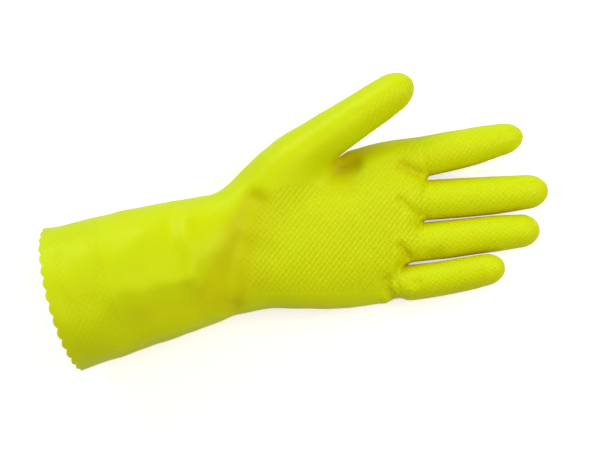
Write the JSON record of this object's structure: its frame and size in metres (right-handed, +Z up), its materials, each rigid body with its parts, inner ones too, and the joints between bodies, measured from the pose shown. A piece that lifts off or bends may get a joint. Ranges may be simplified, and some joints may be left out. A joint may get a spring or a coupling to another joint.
{
  "type": "rubber glove",
  "caption": "Left-hand household rubber glove with a scalloped cuff and flock lining, palm up, with hinged wrist, knuckles, fingers and thumb.",
  "frame": {"origin": "on the table, under the middle of the palm, where the back of the hand rests", "axes": "+X towards the middle fingertip, +Y towards the thumb side, +Z up out of the palm"},
  "size_m": [0.3066, 0.1794, 0.0671],
  "materials": {
    "rubber": "satin, embossed grip on the palm side",
    "flock": "short cotton flock"
  },
  "bodies": {
    "cuff": {"cuff_rubber": "rubber", "cuff_lining": "flock"},
    "wrist": {"wrist_rubber": "rubber", "wrist_lining": "flock"},
    "palm": {"palm_rubber": "rubber", "palm_lining": "flock"},
    "knuckles": {"knuckles_rubber": "rubber", "knuckles_lining": "flock"},
    "thumb_base": {"thumb_base_rubber": "rubber", "thumb_base_lining": "flock"},
    "thumb_middle": {"thumb_middle_rubber": "rubber", "thumb_middle_lining": "flock"},
    "thumb_tip": {"thumb_tip_rubber": "rubber", "thumb_tip_lining": "flock"},
    "index_base": {"index_base_rubber": "rubber", "index_base_lining": "flock"},
    "index_middle": {"index_middle_rubber": "rubber", "index_middle_lining": "flock"},
    "index_tip": {"index_tip_rubber": "rubber", "index_tip_lining": "flock"},
    "middle_base": {"middle_base_rubber": "rubber", "middle_base_lining": "flock"},
    "middle_middle": {"middle_middle_rubber": "rubber", "middle_middle_lining": "flock"},
    "middle_tip": {"middle_tip_rubber": "rubber", "middle_tip_lining": "flock"},
    "ring_base": {"ring_base_rubber": "rubber", "ring_base_lining": "flock"},
    "ring_middle": {"ring_middle_rubber": "rubber", "ring_middle_lining": "flock"},
    "ring_tip": {"ring_tip_rubber": "rubber", "ring_tip_lining": "flock"},
    "little_base": {"little_base_rubber": "rubber", "little_base_lining": "flock"},
    "little_middle": {"little_middle_rubber": "rubber", "little_middle_lining": "flock"},
    "little_tip": {"little_tip_rubber": "rubber", "little_tip_lining": "flock"}
  },
  "joints": [
    {"name": "wrist_turn", "type": "hinge", "parent": "cuff", "child": "wrist", "pos_m": [-0.09, -0.019, 0.03], "axis": [0, 0, 1], "range_deg": [-12, 20], "stiffness_Nm_per_rad": 0.3},
    {"name": "wrist_fold", "type": "hinge", "parent": "wrist", "child": "palm", "pos_m": [-0.062, -0.0115, 0.026], "axis": [0.2419, -0.9703, 0], "range_deg": [-35, 45], "stiffness_Nm_per_rad": 0.3},
    {"name": "knuckle_fold", "type": "hinge", "parent": "palm", "child": "knuckles", "pos_m": [0.0335, 0.0061, 0.024], "axis": [-0.1736, -0.9848, 0], "range_deg": [-10, 35], "stiffness_Nm_per_rad": 0.12},
    {"name": "index_base_fold", "type": "hinge", "parent": "knuckles", "child": "index_base", "pos_m": [0.0675, 0.0502, 0.02102], "axis": [0.2013, -0.9795, 0], "range_deg": [-8, 55], "stiffness_Nm_per_rad": 0.03},
    {"name": "index_middle_fold", "type": "hinge", "parent": "index_base", "child": "index_middle", "pos_m": [0.084, 0.05365, 0.02186], "axis": [0.2063, -0.9785, 0], "range_deg": [-3, 80], "stiffness_Nm_per_rad": 0.02},
    {"name": "index_tip_fold", "type": "hinge", "parent": "index_middle", "child": "index_tip", "pos_m": [0.1005, 0.05748, 0.02297], "axis": [0.2272, -0.9738, 0], "range_deg": [-2, 50], "stiffness_Nm_per_rad": 0.01},
    {"name": "middle_base_fold", "type": "hinge", "parent": "knuckles", "child": "middle_base", "pos_m": [0.0685, 0.02224, 0.02155], "axis": [0.0638, -0.998, 0], "range_deg": [-8, 55], "stiffness_Nm_per_rad": 0.03},
    {"name": "middle_middle_fold", "type": "hinge", "parent": "middle_base", "child": "middle_middle", "pos_m": [0.0885, 0.02357, 0.02341], "axis": [0.0881, -0.9961, 0], "range_deg": [-3, 80], "stiffness_Nm_per_rad": 0.02},
    {"name": "middle_tip_fold", "type": "hinge", "parent": "middle_middle", "child": "middle_tip", "pos_m": [0.1085, 0.02536, 0.02563], "axis": [0.0916, -0.9958, 0], "range_deg": [-2, 50], "stiffness_Nm_per_rad": 0.01},
    {"name": "ring_base_fold", "type": "hinge", "parent": "knuckles", "child": "ring_base", "pos_m": [0.0655, -0.00364, 0.02242], "axis": [0.1126, -0.9936, 0], "range_deg": [-8, 55], "stiffness_Nm_per_rad": 0.03},
    {"name": "ring_middle_fold", "type": "hinge", "parent": "ring_base", "child": "ring_middle", "pos_m": [0.085, -0.00121, 0.02516], "axis": [0.129, -0.9916, 0], "range_deg": [-3, 80], "stiffness_Nm_per_rad": 0.02},
    {"name": "ring_tip_fold", "type": "hinge", "parent": "ring_middle", "child": "ring_tip", "pos_m": [0.104, 0.00115, 0.02823], "axis": [0.1303, -0.9915, 0], "range_deg": [-2, 50], "stiffness_Nm_per_rad": 0.01},
    {"name": "little_base_fold", "type": "hinge", "parent": "knuckles", "child": "little_base", "pos_m": [0.0545, -0.02861, 0.02278], "axis": [0.1092, -0.994, 0], "range_deg": [-8, 55], "stiffness_Nm_per_rad": 0.03},
    {"name": "little_middle_fold", "type": "hinge", "parent": "little_base", "child": "little_middle", "pos_m": [0.07, -0.0264, 0.02579], "axis": [0.148, -0.989, 0], "range_deg": [-3, 80], "stiffness_Nm_per_rad": 0.02},
    {"name": "little_tip_fold", "type": "hinge", "parent": "little_middle", "child": "little_tip", "pos_m": [0.085, -0.02348, 0.02923], "axis": [0.2158, -0.9764, 0], "range_deg": [-2, 50], "stiffness_Nm_per_rad": 0.01},
    {"name": "thumb_base_swing", "type": "hinge", "parent": "palm", "child": "thumb_base", "pos_m": [0.0096, 0.0673, 0.03555], "axis": [0.5514, -0.8342, 0], "range_deg": [-15, 20], "stiffness_Nm_per_rad": 0.03},
    {"name": "thumb_middle_fold", "type": "hinge", "parent": "thumb_base", "child": "thumb_middle", "pos_m": [0.02145, 0.07328, 0.03595], "axis": [0.4345, -0.6574, -0.6157], "range_deg": [-5, 30], "stiffness_Nm_per_rad": 0.02},
    {"name": "thumb_tip_fold", "type": "hinge", "parent": "thumb_middle", "child": "thumb_tip", "pos_m": [0.03446, 0.08208, 0.03685], "axis": [0.4395, -0.6541, -0.6157], "range_deg": [-8, 50], "stiffness_Nm_per_rad": 0.01}
  ],
  "couplings": [
    {"joint": "index_tip_fold", "follows": "index_middle_fold", "ratio": 0.625},
    {"joint": "middle_tip_fold", "follows": "middle_middle_fold", "ratio": 0.625},
    {"joint": "ring_tip_fold", "follows": "ring_middle_fold", "ratio": 0.625},
    {"joint": "little_tip_fold", "follows": "little_middle_fold", "ratio": 0.625}
  ]
}
